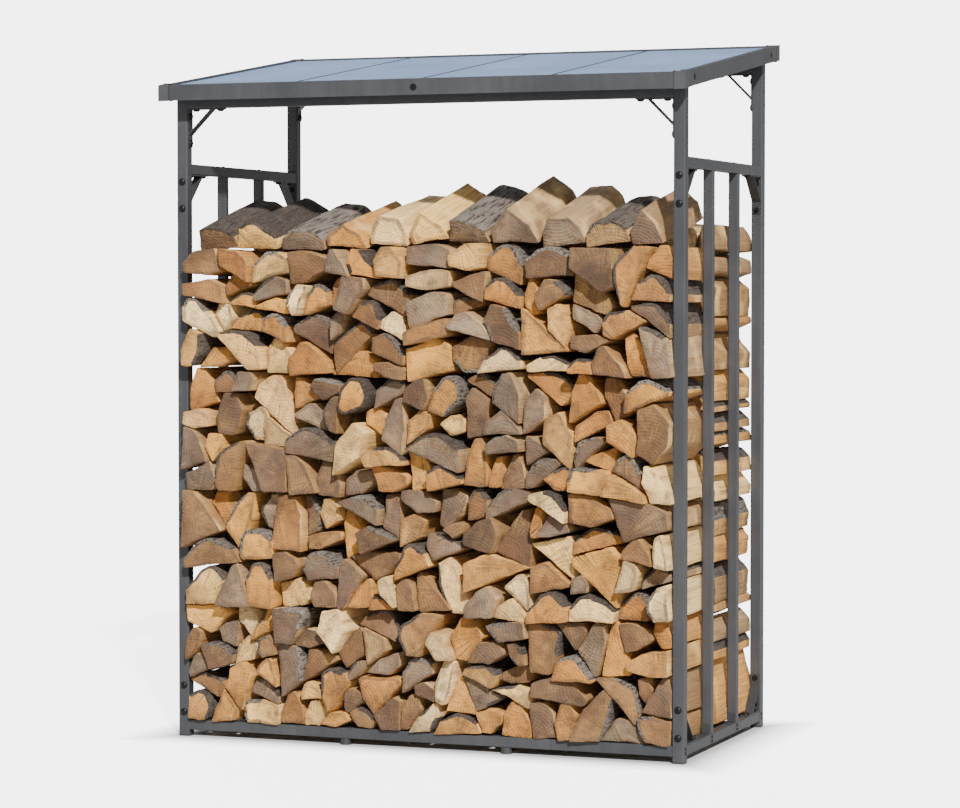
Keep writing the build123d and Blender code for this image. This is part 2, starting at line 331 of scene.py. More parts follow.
coated_skin = coated_skin_group()
log_tone = log_tone_group()


def new_material(name):
    made = bpy.data.materials.new(name)
    made.use_nodes = True
    tree = made.node_tree
    return made, tree, tree.nodes["Principled BSDF"]


def object_place(tree):
    return tree.nodes.new("ShaderNodeTexCoord").outputs["Object"]


def bump(tree, height, shader, strength, distance):
    made = add_node(tree, "ShaderNodeBump", {"Height": height, "Strength": strength, "Distance": distance})
    tree.links.new(made.outputs[0], shader.inputs["Normal"])


def coated_material(name, tone, dust, grain, dust_amount, roughness, bump_strength):
    made, tree, shader = new_material(name)
    skin = use_group(tree, coated_skin, {
        "Place": object_place(tree), "Tone": tone, "Dust": dust, "Grain": grain,
        "Dust amount": dust_amount, "Roughness": roughness,
    })
    tree.links.new(skin["Colour"], shader.inputs["Base Color"])
    tree.links.new(skin["Roughness"], shader.inputs["Roughness"])
    bump(tree, skin["Height"], shader, strength=bump_strength, distance=coat_bump_depth)
    return made


def roof_sheet_material():
    """Tinted twin-wall sheet: fine ribs down the slope, cloudy tint, soft gloss."""
    deep_tint = (0.128, 0.21, 0.36, 1)
    light_tint = (0.21, 0.315, 0.53, 1)
    rib_shade = (0.07, 0.08, 0.105, 1)
    speck_tone = (0.34, 0.38, 0.44, 1)
    made, tree, shader = new_material("tinted roof sheet")
    place = object_place(tree)
    across = split_vector(tree, place)[0]
    wave = math_node(tree, "SINE", times(tree, across, 2 * math.pi / sheet_rib_pitch))
    rib = math_node(tree, "POWER", math_node(tree, "ABSOLUTE", wave), 8.0)
    clouds = noise_of(tree, place, scale=5.0, detail=4.0)
    drops = noise_of(tree, place, scale=55.0, detail=5.0, roughness=0.7)
    tint = ramp(tree, clouds, [(0.25, deep_tint), (0.75, light_tint)])
    tint = mix_colour(tree, times(tree, rib, 0.35), tint, rib_shade)
    specks = above(tree, drops, level=0.52, gain=2.2)
    tree.links.new(mix_colour(tree, specks, tint, speck_tone), shader.inputs["Base Color"])
    tree.links.new(math_node(tree, "ADD", 0.2, times(tree, drops, 0.3)), shader.inputs["Roughness"])
    bump(tree, math_node(tree, "ADD", rib, drops), shader, strength=0.06, distance=coat_bump_depth)
    return made


def attribute(tree, name, output):
    return add_node(tree, "ShaderNodeAttribute", attribute_name=name).outputs[output]


def log_numbers(tree):
    """The log's own three numbers: pick of tone, weathering, and one for its dirt, cracks and bark."""
    return split_vector(tree, attribute(tree, "log_numbers", "Vector"))


def log_place(tree):
    """Place in the log, with the pith at zero."""
    return attribute(tree, "log_place", "Vector")


def end_grain_material():
    """Sawn end: year rings round the pith, drying cracks, saw scores, darker dirt in patches, and painted
    shade in broad blotches.
    """
    ring_tone = (0.14, 0.045, 0.012, 1)
    band_tone = (0.24, 0.085, 0.02, 1)
    sapwood_tone = (0.8, 0.42, 0.1, 1)
    heart_tone = (0.16, 0.062, 0.013, 1)
    fresh_tone = (0.9, 0.5, 0.13, 1)
    grime_tone = (0.085, 0.04, 0.017, 1)
    rim_tone = (0.075, 0.042, 0.024, 1)
    crack_tone = (0.05, 0.028, 0.015, 1)
    made, tree, shader = new_material("sawn end grain")
    place = log_place(tree)
    pick, weathered, dirt = log_numbers(tree)
    tone = use_group(tree, log_tone, {"Pick": pick, "Weathered": weathered})["Colour"]

    # Year rings and the bands that they gather in
    x, _, z = split_vector(tree, place)
    flat = joined_vector(tree, {0: x, 2: z})
    reach = add_node(tree, "ShaderNodeVectorMath", {0: flat}, operation="LENGTH").outputs["Value"]
    wander = noise_of(tree, place, scale=22.0, detail=3.0)
    ring_reach = math_node(tree, "ADD", reach, times(tree, wander, year_ring_wander))
    rings = math_node(tree, "SINE", times(tree, ring_reach, 2 * math.pi / year_ring_pitch))
    ring_shade = math_node(tree, "MULTIPLY_ADD", rings, 0.085)
    ring_shade.node.inputs[2].default_value = 0.085
    colour = mix_colour(tree, ring_shade, tone, ring_tone)
    bands = noise_of(tree, joined_vector(tree, {0: ring_reach}), scale=60.0, detail=2.0)
    colour = mix_colour(tree, above(tree, bands, level=0.45, gain=1.5), colour, band_tone)

    # Pale sapwood under the bark, dark heart at the pith, fresh and grimy patches, and painted shade that
    # darkens broad blotches to half
    outward = times(tree, ring_reach, 1 / sapwood_reach)
    sapwood = ramp(tree, outward, [(0.5, grey(0.0)), (0.85, grey(0.4))])
    colour = mix_colour(tree, sapwood, colour, mix_colour(tree, 0.2, tone, sapwood_tone))
    heart = ramp(tree, outward, [(0.25, grey(0.6)), (0.6, grey(0.0))])
    colour = mix_colour(tree, heart, colour, mix_colour(tree, 0.6, tone, heart_tone))
    patches = noise_of(tree, place, scale=17.0, detail=5.0, roughness=0.62)
    stain = noise_of(tree, place, scale=34.0, detail=5.0, roughness=0.65)
    fresh = above(tree, patches, level=0.52, gain=2.0)
    colour = mix_colour(tree, fresh, colour, mix_colour(tree, 0.35, tone, fresh_tone))
    grime = times(tree, math_node(tree, "SUBTRACT", 0.5, stain, True), 3.4)
    colour = mix_colour(tree, grime, colour, grime_tone)
    # Painted shade: broad blotches darken the sawn end by up to half, standing in for light and shade on
    # its uneven face
    painted_shade_blotches = noise_of(tree, place, scale=9.0, detail=3.0)
    clouds = ramp(tree, painted_shade_blotches, [(0.32, grey(0.5)), (0.56, grey(1.0))])
    colour = mix_colour(tree, 1.0, colour, clouds, "MULTIPLY")

    # Dirt round the rim and cracks that run out from the pith
    ragged = times(tree, math_node(tree, "SUBTRACT", stain, 0.5), 1.6)
    ragged_edge = math_node(tree, "ADD", attribute(tree, "log_edge", "Fac"), ragged)
    rim = above(tree, ragged_edge, level=0.62, gain=1.5)
    colour = mix_colour(tree, times(tree, rim, dirt), colour, rim_tone)
    turn = math_node(tree, "ARCTAN2", z, x)
    ray_place = joined_vector(tree, {0: turn, 1: pick, 2: dirt})
    rays = noise_of(tree, ray_place, scale=7.0, detail=2.0, roughness=0.6)
    from_ray = math_node(tree, "ABSOLUTE", math_node(tree, "SUBTRACT", rays, 0.5))
    crack = math_node(tree, "SUBTRACT", 1.0, times(tree, from_ray, 26.0), True)
    crack = times(tree, crack, above(tree, patches, level=0.47, gain=4.5, clamp=True))
    cracked = times(tree, crack, math_node(tree, "SUBTRACT", 1.15, dirt, True))
    colour = mix_colour(tree, cracked, colour, crack_tone)
    tree.links.new(colour, shader.inputs["Base Color"])
    shader.inputs["Roughness"].default_value = 0.85

    # Saw scores and chips
    saw = noise_of(tree, stretched(tree, place, (30, 4, 420)), scale=1.0, detail=2.0)
    chips = times(tree, noise_of(tree, place, scale=75.0, detail=5.0, roughness=0.6), 2.2)
    height = math_node(tree, "ADD", math_node(tree, "ADD", saw, chips), times(tree, rings, 0.15))
    height = math_node(tree, "SUBTRACT", height, times(tree, crack, 1.5))
    bump(tree, height, shader, strength=0.7, distance=sawn_bump_depth)
    return made


def split_face_material():
    """Split side: long fibres, torn streaks, paler where the wood is fresh."""
    side_tone = (0.52, 0.28, 0.075, 1)
    streak_tone = (0.19, 0.085, 0.028, 1)
    fibre_tone = (0.11, 0.052, 0.02, 1)
    fresh_tone = (0.86, 0.57, 0.22, 1)
    made, tree, shader = new_material("split wood face")
    place = log_place(tree)
    pick, weathered, _ = log_numbers(tree)
    fibres = noise_of(tree, stretched(tree, place, (230, 7, 230)), scale=1.0, detail=4.0, roughness=0.6)
    torn = stretched(tree, place, (48, 3, 48))
    streaks = noise_of(tree, torn, scale=1.0, detail=4.0, roughness=0.6, distortion=0.4)
    patches = noise_of(tree, place, scale=11.0, detail=4.0)
    tone = use_group(tree, log_tone, {"Pick": pick, "Weathered": weathered})["Colour"]
    colour = mix_colour(tree, 0.35, tone, side_tone)
    colour = mix_colour(tree, above(tree, streaks, level=0.46, gain=3.2), colour, streak_tone)
    colour = mix_colour(tree, above(tree, fibres, level=0.48, gain=2.4), colour, fibre_tone)
    colour = mix_colour(tree, above(tree, patches, level=0.52, gain=2.6), colour, fresh_tone)
    tree.links.new(colour, shader.inputs["Base Color"])
    shader.inputs["Roughness"].default_value = 0.8
    height = math_node(tree, "ADD", fibres, times(tree, streaks, 1.6))
    bump(tree, height, shader, strength=0.7, distance=split_bump_depth)
    return made


def bark_material():
    """Bark: furrowed plates, grey-brown with lichen."""
    dark_bark = (0.045, 0.03, 0.02, 1)
    brown_bark = (0.085, 0.062, 0.045, 1)
    grey_bark = (0.21, 0.172, 0.136, 1)
    furrow_tone = (0.022, 0.014, 0.01, 1)
    worn_tone = (0.4, 0.34, 0.27, 1)
    lichen_tone = (0.17, 0.155, 0.115, 1)
    made, tree, shader = new_material("grey brown bark")
    place = log_place(tree)
    bark_pick = log_numbers(tree)[2]
    plates = stretched(tree, place, (150, 16, 150))
    ridges = noise_of(tree, plates, scale=1.0, detail=5.0, roughness=0.62, distortion=0.6)
    rough = noise_of(tree, stretched(tree, place, (190, 90, 190)), scale=1.0, detail=5.0, roughness=0.65)
    patches = noise_of(tree, place, scale=16.0, detail=4.0)
    base = ramp(tree, bark_pick, [(0.0, dark_bark), (0.6, brown_bark), (1.0, grey_bark)])
    furrow = ramp(tree, ridges, [(0.4, grey(1.0)), (0.52, grey(0.0))])
    colour = mix_colour(tree, furrow, base, furrow_tone)
    light = above(tree, rough, level=0.52, gain=2.6)
    colour = mix_colour(tree, light, colour, mix_colour(tree, 0.3, base, worn_tone))
    colour = mix_colour(tree, above(tree, patches, level=0.57, gain=3.0), colour, lichen_tone)
    tree.links.new(colour, shader.inputs["Base Color"])
    shader.inputs["Roughness"].default_value = 0.92
    height = math_node(tree, "ADD", times(tree, ridges, 2.0), rough)
    bump(tree, height, shader, strength=0.9, distance=bark_bump_depth)
    return made


frame_coat = coated_material(
    "anthracite powder coat", tone=(0.0305, 0.0317, 0.0347, 1), dust=(0.17, 0.165, 0.155, 1),
    grain=1100.0, dust_amount=0.3, roughness=0.5, bump_strength=0.22)
bracket_coat = coated_material(
    "bracket powder coat", tone=(0.019, 0.0197, 0.0215, 1), dust=(0.15, 0.145, 0.135, 1),
    grain=1100.0, dust_amount=0.25, roughness=0.5, bump_strength=0.22)
cap_plastic = coated_material(
    "grey moulded cap", tone=(0.038, 0.0393, 0.0423, 1), dust=(0.2, 0.195, 0.185, 1),
    grain=1500.0, dust_amount=0.3, roughness=0.55, bump_strength=0.3)
black_plastic = coated_material(
    "black moulded plastic", tone=(0.018, 0.018, 0.019, 1), dust=(0.16, 0.155, 0.15, 1),
    grain=1400.0, dust_amount=0.3, roughness=0.5, bump_strength=0.25)
black_bolt = coated_material(
    "blackened bolt", tone=(0.006, 0.006, 0.0065, 1), dust=(0.05, 0.046, 0.042, 1),
    grain=1600.0, dust_amount=0.2, roughness=0.38, bump_strength=0.15)
black_bolt.node_tree.nodes["Principled BSDF"].inputs["Specular IOR Level"].default_value = 0.2
seam_dark = coated_material(
    "dark seam strip", tone=(0.01, 0.0105, 0.012, 1), dust=(0.08, 0.08, 0.08, 1),
    grain=1200.0, dust_amount=0.2, roughness=0.6, bump_strength=0.2)
roof_sheet = roof_sheet_material()
wood_finishes = [end_grain_material(), split_face_material(), bark_material()]

# Finish of each node of the part
finish_of_slot = {
    "frame_steel": frame_coat, "bracket_steel": bracket_coat, "cap_plastic": cap_plastic,
    "black_plastic": black_plastic, "seam_strip": seam_dark, "roof_sheet": roof_sheet,
    "firewood": wood_finishes[0],
}
for row in frame["record"]["subparts"]:
    node = frame["nodes"][row["node"]]
    for material_slot in node.material_slots:
        material_slot.material = finish_of_slot[row["material_slot"]]


def new_piece(name, mesh_maker, finishes):
    """Piece made by mesh_maker in a bmesh, riding on the store."""
    mesh = bpy.data.meshes.new(name)
    bm = bmesh.new()
    mesh_maker(bm)
    bm.to_mesh(mesh)
    bm.free()
    piece = bpy.data.objects.new(name, mesh)
    bpy.context.scene.collection.objects.link(piece)
    for finish in finishes:
        mesh.materials.append(finish)
    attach(piece, "root")
    return piece


def shade(piece, degrees):
    for face in piece.data.polygons:
        face.use_smooth = True
    piece.data.set_sharp_from_angle(angle=math.radians(degrees))


# Fasteners: where they sit
posts = {(s, e): corner(f"post_{e}_{s}") for s in ("left", "right") for e in ("front", "back")}
upper_rail_low, upper_rail_high = corner("upper_rail_left")
bottom_rail_low, bottom_rail_high = corner("bottom_rail_left")
bottom_rail_z = (bottom_rail_low.z + bottom_rail_high.z) / 2
fascia_low, fascia_high = corner("roof_rail_front")
fascia_height = fascia_high.z - fascia_low.z
side_way = {"left": -1, "right": 1}
end_way = {"front": -1, "back": 1}
slat_nodes = [name for name in frame["nodes"] if name.startswith("slat_")]


def slat_side(name):
    return "left" if "left" in name else "right"


def bracket_bolt_places():
    """Bolts of the corner brackets, through the posts, the rails and the headers."""
    places = []
    leg = bracket_thickness
    for (side, end), (low, high) in posts.items():
        x, y = (low.x + high.x) / 2, (low.y + high.y) / 2
        s, e = side_way[side], end_way[end]
        face_y, inner_y = (low.y, high.y) if end == "front" else (high.y, low.y)
        inner_x = high.x if side == "left" else low.x
        header_low = corner(f"header_{end}")[0].z
        for hole in bracket_holes:
            places += [
                ((x, face_y, upper_rail_low.z - hole), (0, e, 0)),
                ((x, face_y, bottom_rail_high.z + hole), (0, e, 0)),
                ((x, inner_y - e * hole, upper_rail_low.z - leg), (0, 0, -1)),
                ((x, inner_y - e * hole, bottom_rail_high.z + leg), (0, 0, 1)),
                ((inner_x - s * leg, y, header_low - hole), (-s, 0, 0)),
                ((inner_x - s * hole, y, header_low - leg), (0, 0, -1)),
            ]
    return places


def roof_bolt_places():
    """Bolts on the outer faces of the roof rails: over each post, and in the middle of the front."""
    places = []
    for side, s in side_way.items():
        low, high = corner(f"roof_rail_{side}")
        outer_x = low.x if side == "left" else high.x
        for end in end_way:
            post_low, post_high = posts[(side, end)]
            y = (post_low.y + post_high.y) / 2
            share = (y - low.y) / (high.y - low.y)
            z = low.z + fascia_height / 2 + share * (high.z - low.z - fascia_height)
            places.append(((outer_x, y, z), (s, 0, 0)))
    fascia_z = (fascia_low.z + fascia_high.z) / 2 - fascia_bolt_drop
    places.append(((0, fascia_low.y, fascia_z), (0, -1, 0)))
    return places


def nut_places():
    """Nuts on the post legs of the side brackets, at the far end of the through bolts."""
    places = []
    for (_, end), (low, high) in posts.items():
        x = (low.x + high.x) / 2
        e = end_way[end]
        inner_y = (high.y if end == "front" else low.y) - e * bracket_thickness
        for hole in bracket_holes:
            places.append(((x, inner_y, upper_rail_low.z - hole), (0, -e, 0)))
            places.append(((x, inner_y, bottom_rail_high.z + hole), (0, -e, 0)))
    return places


def rail_end_pair(x, y, s):
    """Two small bolts, one over the other, at the end of a rail."""
    return [((x, y, bottom_rail_z + lift * floor_rail_hole_gap), (s, 0, 0)) for lift in (-0.5, 0.5)]


def small_bolt_places():
    """Small heads: slat tops on the upper rails, slat tabs, rail ends on the outer faces."""
    places = []
    for name in slat_nodes:
        side = slat_side(name)
        s = side_way[side]
        slat_y = middle(name).y
        rail_x = middle(f"bottom_rail_{side}").x
        outer_x = rail_x + s * (bottom_rail_high.x - bottom_rail_low.x) / 2
        tab_y = corner(name)[0].y - tab_length * tab_hole_share
        places.append(((rail_x, slat_y, upper_rail_high.z), (0, 0, 1)))
        places.append(((rail_x, tab_y, bottom_rail_high.z + tab_thickness), (0, 0, 1)))
        places += rail_end_pair(outer_x, slat_y, s)
    for side, s in side_way.items():
        outer_x = posts[(side, "front")][0 if side == "left" else 1].x
        for end in end_way:
            places += rail_end_pair(outer_x, middle(f"bottom_rail_{end}").y, s)
    return places


# Fasteners: how they are made
def turn_to(way):
    return Vector((0, 0, 1)).rotation_difference(Vector(way)).to_matrix().to_4x4()


def add_domes(bm, heads):
    """Domed bolt heads that stand on their faces, spun from a profile of radius and height shares."""
    for place, way, radius, height in heads:
        set_on = Matrix.Translation(place) @ turn_to(way)
        profile = [bm.verts.new(set_on @ Vector((radius * out, 0, height * up)))
                   for out, up in dome_profile_shares]
        sides = [bm.edges.new(pair) for pair in zip(profile, profile[1:])]
        bmesh.ops.spin(bm, geom=profile + sides, cent=place, axis=way, angle=2 * math.pi,
                       steps=dome_sides, use_merge=True)
    rims = [edge for edge in bm.edges if edge.is_boundary]
    bmesh.ops.edgeloop_fill(bm, edges=rims)
    bmesh.ops.recalc_face_normals(bm, faces=bm.faces)


def add_disc(bm, place, way, radius, height, sides, edge_round):
    """Washer or hexagon nut: a short prism with its outer edge broken."""
    verts = bmesh.ops.create_cone(
        bm, cap_ends=True, segments=sides, radius1=radius, radius2=radius, depth=height)["verts"]
    bmesh.ops.translate(bm, verts=verts, vec=(0, 0, height / 2))
    bmesh.ops.transform(bm, matrix=turn_to(way), verts=verts)
    bmesh.ops.translate(bm, verts=verts, vec=place)
    top = [e for e in {e for v in verts for e in v.link_edges}
           if all((v.co - Vector(place)).dot(Vector(way)) > height / 2 for v in e.verts)]
    bmesh.ops.bevel(bm, geom=top, offset=edge_round, segments=1, profile=0.5, affect="EDGES", material=-1)


def make_bolts(bm):
    """Bolt heads, flatter where they would stand out of the store's own box."""
    heads = []
    for place, way in bracket_bolt_places() + roof_bolt_places():
        room = [(cad_box[1] if w > 0 else cad_box[0])[i] * w - place[i] * w for i, w in enumerate(way) if w]
        heads.append((place, way, bolt_head_radius, min(bolt_head_height, *room)))
    add_domes(bm, heads)


def make_small_bolts(bm):
    add_domes(bm, [(*head, small_head_radius, small_head_height) for head in small_bolt_places()])


def make_nuts(bm):
    for place, way in nut_places():
        add_disc(bm, place, way, washer_radius, washer_height, washer_sides, washer_height / 3)
        on_top = Vector(place) + Vector(way) * washer_height
        add_disc(bm, tuple(on_top), way, nut_radius, nut_height, nut_sides, nut_height / 6)


def make_tabs(bm):
    """Bent tab in front of the foot of each slat, one leg on the rail and one against the slat."""
    outline = [(0, 0), (-tab_length, 0), (-tab_length, tab_thickness), (-tab_thickness, tab_thickness),
               (-tab_thickness, tab_rise), (0, tab_rise)]
    for name in slat_nodes:
        slat_y = corner(name)[0].y
        x = middle(f"bottom_rail_{slat_side(name)}").x - tab_width / 2
        verts = [bm.verts.new((x, slat_y + y, bottom_rail_high.z + z)) for y, z in outline]
        face = bm.faces.new(verts)
        swept = bmesh.ops.extrude_face_region(bm, geom=[face])["geom"]
        swept_verts = [v for v in swept if isinstance(v, bmesh.types.BMVert)]
        bmesh.ops.translate(bm, verts=swept_verts, vec=(tab_width, 0, 0))
    bmesh.ops.recalc_face_normals(bm, faces=bm.faces)
    sharp = [e for e in bm.edges if e.calc_face_angle(0) > tab_bevel_angle]
    bmesh.ops.bevel(
        bm, geom=sharp, offset=tab_thickness / 5, segments=1, profile=0.5, affect="EDGES", material=-1)


def add_box(bm, low, high):
    made = bmesh.ops.create_cube(bm, size=1)["verts"]
    set_in = Matrix.Translation((low + high) / 2) @ Matrix.Diagonal((*(high - low), 1))
    bmesh.ops.transform(bm, matrix=set_in, verts=made)


def make_cap_shadow_lines(bm):
    """Thin dark bands round the roof rails, where the corner caps end: painted shadow lines at the caps'
    edges.
    """
    caps_high = corner("roof_corner_caps")[1]
    from_cap = cap_leg + cap_shadow_width / 2
    for end in end_way:
        low, high = corner(f"roof_rail_{end}")
        proud = Vector((cap_shadow_width / 2, cap_shadow_proud, cap_shadow_proud))
        for s in side_way.values():
            x = s * (caps_high.x - from_cap)
            add_box(bm, Vector((x, low.y, low.z)) - proud, Vector((x, high.y, high.z)) + proud)
    for side in side_way:
        low, high = corner(f"roof_rail_{side}")
        proud = Vector((cap_shadow_proud, cap_shadow_width / 2, 0))
        rise = (high.z - low.z - fascia_height) / (high.y - low.y)
        for e in end_way.values():
            y = e * (caps_high.y - from_cap)
            z = low.z + rise * (y - low.y)
            add_box(bm, Vector((low.x, y, z)) - proud, Vector((high.x, y, z + fascia_height)) + proud)


for name, maker, finish, slot in (
    ("bolt_heads", make_bolts, black_bolt, "black_plastic"),
    ("small_bolt_heads", make_small_bolts, black_bolt, "black_plastic"),
    ("bracket_nuts", make_nuts, black_bolt, "black_plastic"),
    ("slat_tabs", make_tabs, bracket_coat, "bracket_steel"),
    # The dark bands at the corner caps are painted shadow lines
    ("cap_shadow_lines", make_cap_shadow_lines, black_plastic, "black_plastic"),
):
    shade(new_piece(name, maker, [finish]), fastener_sharp_angle)


# Firewood: every log of a node becomes a rough split log in the same place
END, SPLIT, BARK = range(3)     # places in wood_finishes


def log_prisms(node):
    """Corners of the front end and the way to the back end of every log of a node."""
    bm = bmesh.new()
    bm.from_mesh(frame["nodes"][node].data)
    bmesh.ops.remove_doubles(bm, verts=bm.verts, dist=weld_distance)
    bmesh.ops.dissolve_limit(bm, angle_limit=flat_angle, verts=bm.verts, edges=bm.edges)
    prisms = []
    for end in bm.faces:
        if end.normal.y < -front_facing:
            first = end.verts[0]
            length = next(e for e in first.link_edges if end not in e.link_faces)
            prisms.append(([v.co.copy() for v in end.verts], length.other_vert(first).co - first.co))
    bm.free()
    return sorted(prisms, key=lambda prism: tuple(round(c, 4) for c in prism[0][0]))


def bark_sides(corners):
    """Numbers of the outline's sides that belong to its rounded stretch, where the corners turn little."""
    count = len(corners)
    gentle = []
    for i in range(count):
        before = corners[i] - corners[i - 1]
        after = corners[(i + 1) % count] - corners[i]
        gentle.append(abs(math.degrees(before.angle_signed(after))) < smooth_turn)
    sides = [i for i in range(count) if gentle[i] and gentle[(i + 1) % count]]
    return sides if len(sides) > 1 else []


def rounded_outline(corners, barks):
    """Points round a log end, each with whether bark follows it: corners rounded, long sides cut up."""
    count = len(corners)
    marks = []
    for i, tip in enumerate(corners):
        back, on = corners[i - 1] - tip, corners[(i + 1) % count] - tip
        bark_before, bark_after = (i - 1) % count in barks, i in barks
        shorter = min(back.length, on.length)
        if bark_before and bark_after:
            cut, steps = min(bark_edge_round, shorter * bark_round_share), bark_corner_steps
        else:
            cut, steps = min(split_edge_round, shorter * split_round_share), split_corner_steps
        a, b = tip + back.normalized() * cut, tip + on.normalized() * cut
        for step in range(steps + 1):
            share = step / steps
            point = a.lerp(tip, share).lerp(tip.lerp(b, share), share)
            marks.append((point, bark_before if share < 0.5 else bark_after))
    points = []
    for (a, bark), (b, _) in zip(marks, marks[1:] + marks[:1]):
        pieces = math.ceil((b - a).length / outline_step)
        points += [(a.lerp(b, i / pieces), bark) for i in range(pieces)]
    return points


def pith_of(corners, barks, dice):
    """Middle of the round that a log was split from: behind its bark, or well outside a billet."""
    if barks:
        ends = [corners[i] for i in barks] + [corners[(barks[-1] + 1) % len(corners)]]
        bark = sum(ends, Vector((0, 0))) / len(ends)
        return bark - bark.normalized() * dice.uniform(*pith_from_bark)
    angle = dice.uniform(0, 2 * math.pi)
    return Vector((math.cos(angle), math.sin(angle))) * dice.uniform(*pith_from_billet)


def rough_at(point, along, grain, shift):
    """Roughness at a place of a log, between -1 and 1."""
    across_grain, along_grain = grain
    place = Vector((point.x * across_grain, along * along_grain, point.y * across_grain))
    return noise.noise(place + shift)


def worn(point, bark, along, spin):
    """Point of an outline, worn in by lumps and torn fibres."""
    lumps = rough_at(point, along, lump_grain, spin)
    fine = rough_at(point, along, bark_grain, spin) if bark else rough_at(point, along, split_grain, -spin)
    depth = lump_depth * (wear_mean + wear_swing * lumps) + fine_depth * (wear_mean + wear_swing * fine)
    return point - point.normalized() * min(depth, point.length * wear_most)


class SplitLog:
    """One log in its own frame: X across, Y along, Z up, with zero in the middle of the front end.

    A point of it is a place across the log, a depth along it, and 1 at the rim or 0 inside an end.
    """

    def __init__(self, corners, way, dice):
        along = way.normalized()
        across = Vector((1, 0, 0))
        up = across.cross(along)
        centre = sum(corners, Vector()) / len(corners)
        self.set_in = Matrix.Translation(centre) @ Matrix((across, along, up)).transposed().to_4x4()
        self.length = way.length
        roll = max(-roll_most, min(roll_most, dice.gauss(0, roll_spread)))
        turned = Matrix.Rotation(math.radians(roll), 2)
        flat = [turned @ Vector(((c - centre).dot(across), (c - centre).dot(up))) for c in corners]
        barks = bark_sides(flat)
        self.outline = rounded_outline(flat, barks)
        self.pith = pith_of(flat, barks, dice)
        pick = dice.random()
        weathered = max(0.0, dice.gauss(weathered_mean, weathered_spread))
        self.numbers = Vector((pick, weathered, dice.random()))
        self.spin = Vector([dice.uniform(-spin_most, spin_most) for _ in range(3)])
        self.leans = [Vector([dice.uniform(-end_lean, end_lean) for _ in range(2)]) for _ in range(2)]
        self.askew = Vector((dice.uniform(-1, 1), dice.uniform(-1, 1))) * log_askew

    def end_depth(self, point, e):
        rough = end_roughness * rough_at(point, self.spin.x, end_grain, self.spin)
        lean = self.leans[0 if e < 0 else 1]
        depth = end_setback + point.dot(lean) + rough
        return depth if e < 0 else self.length - depth

    def end_point(self, point, e):
        """Point inside the front end, where e is -1, or the back end, where e is 1."""
        return point + self.askew * (0.5 * e), self.end_depth(point, e), 0.0

    def ring(self, inset, depth_of):
        """Points round the log, worn, and drawn in from the outline by an inset."""
        made = []
        for point, bark in self.outline:
            rest = max(0.0, 1 - inset / point.length)
            y = depth_of(point * rest)
            shift = self.askew * (y / self.length - 0.5)
            made.append((worn(point, bark, y, self.spin) * rest + shift, y, 1.0))
        return made

    def end_rings(self, e):
        """Rings of one end, from its face outwards and round its edge."""
        def on_face(point):
            return self.end_depth(point, e)

        def past_edge(point):
            return self.end_depth(point, e) - e * end_edge_round

        return [
            [self.end_point(point * end_inner_share, e) for point, _ in self.outline],
            self.ring(bark_thickness, on_face), self.ring(end_edge_round, on_face), self.ring(0, past_edge),
        ]

    def rings(self):
        """All rings, from inside the front end to inside the back end."""
        depths = [self.length * number / (log_rings + 1) for number in range(1, log_rings + 1)]
        body = [self.ring(0, lambda point, y=y: y) for y in depths]
        return self.end_rings(-1) + body + self.end_rings(1)[::-1]


def of_kind(geometry, kind):
    return [element for element in geometry if isinstance(element, kind)]


def make_logs(bm, logs):
    """Logs extruded together, ring by ring, from the fans on the front ends to the fans on the back."""
    place_layer = bm.verts.layers.float_vector.new("log_place")
    numbers_layer = bm.verts.layers.float_vector.new("log_numbers")
    edge_layer = bm.verts.layers.float.new("log_edge")
    spot_layer = bm.verts.layers.int.new("spot")            # which point of which log's outline
    bark_layer = bm.edges.layers.int.new("bark follows")

    def put(vert, log, point, y, rim):
        vert.co = log.set_in @ Vector((point.x, y, point.y))
        vert[place_layer] = (point.x - log.pith.x, y + log.spin.y, point.y - log.pith.y)
        vert[numbers_layer] = log.numbers
        vert[edge_layer] = rim

    spots = []
    rims = []
    for log in logs:
        fan = bmesh.ops.create_circle(bm, cap_ends=True, cap_tris=True, segments=len(log.outline), radius=1)
        heart, *loop = fan["verts"]
        put(heart, log, *log.end_point(Vector((0, 0)), -1))
        rings = log.rings()
        for i, vert in enumerate(loop):
            vert[spot_layer] = len(spots)
            spots.append((log, [ring[i] for ring in rings]))
            put(vert, log, *rings[0][i])
            side = bm.edges.get((vert, loop[(i + 1) % len(loop)]))
            side[bark_layer] = log.outline[i][1]
            rims.append(side)

    last = len(spots[0][1]) - 1
    for number in range(1, last + 1):
        made = bmesh.ops.extrude_edge_only(bm, edges=rims)["geom"]
        for vert in of_kind(made, bmesh.types.BMVert):
            log, points = spots[vert[spot_layer]]
            put(vert, log, *points[number])
        on_face = number in (1, last)
        on_end = number <= end_steps or number > last - end_steps
        for face in of_kind(made, bmesh.types.BMFace):
            bark = any(side[bark_layer] for side in face.edges) and not on_face
            face.material_index = BARK if bark else END if on_end else SPLIT
        rims = of_kind(made, bmesh.types.BMEdge)

    caps = bmesh.ops.edgeloop_fill(bm, edges=rims, mat_nr=END)["faces"]
    for heart in bmesh.ops.poke(bm, faces=caps)["verts"]:
        log = spots[heart.link_edges[0].other_vert(heart)[spot_layer]][0]
        put(heart, log, *log.end_point(Vector((0, 0)), 1))
    bm.verts.layers.int.remove(spot_layer)
    bm.edges.layers.int.remove(bark_layer)
    bmesh.ops.recalc_face_normals(bm, faces=bm.faces)


dice = random.Random(log_seed)
for node in sorted(name for name in frame["nodes"] if name.startswith("logs_")):
    logs = [SplitLog(corners, way, dice) for corners, way in log_prisms(node)]
    piece = new_piece("split_" + node, lambda bm: make_logs(bm, logs), wood_finishes)
    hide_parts(node)
    shade(piece, log_sharp_angle)
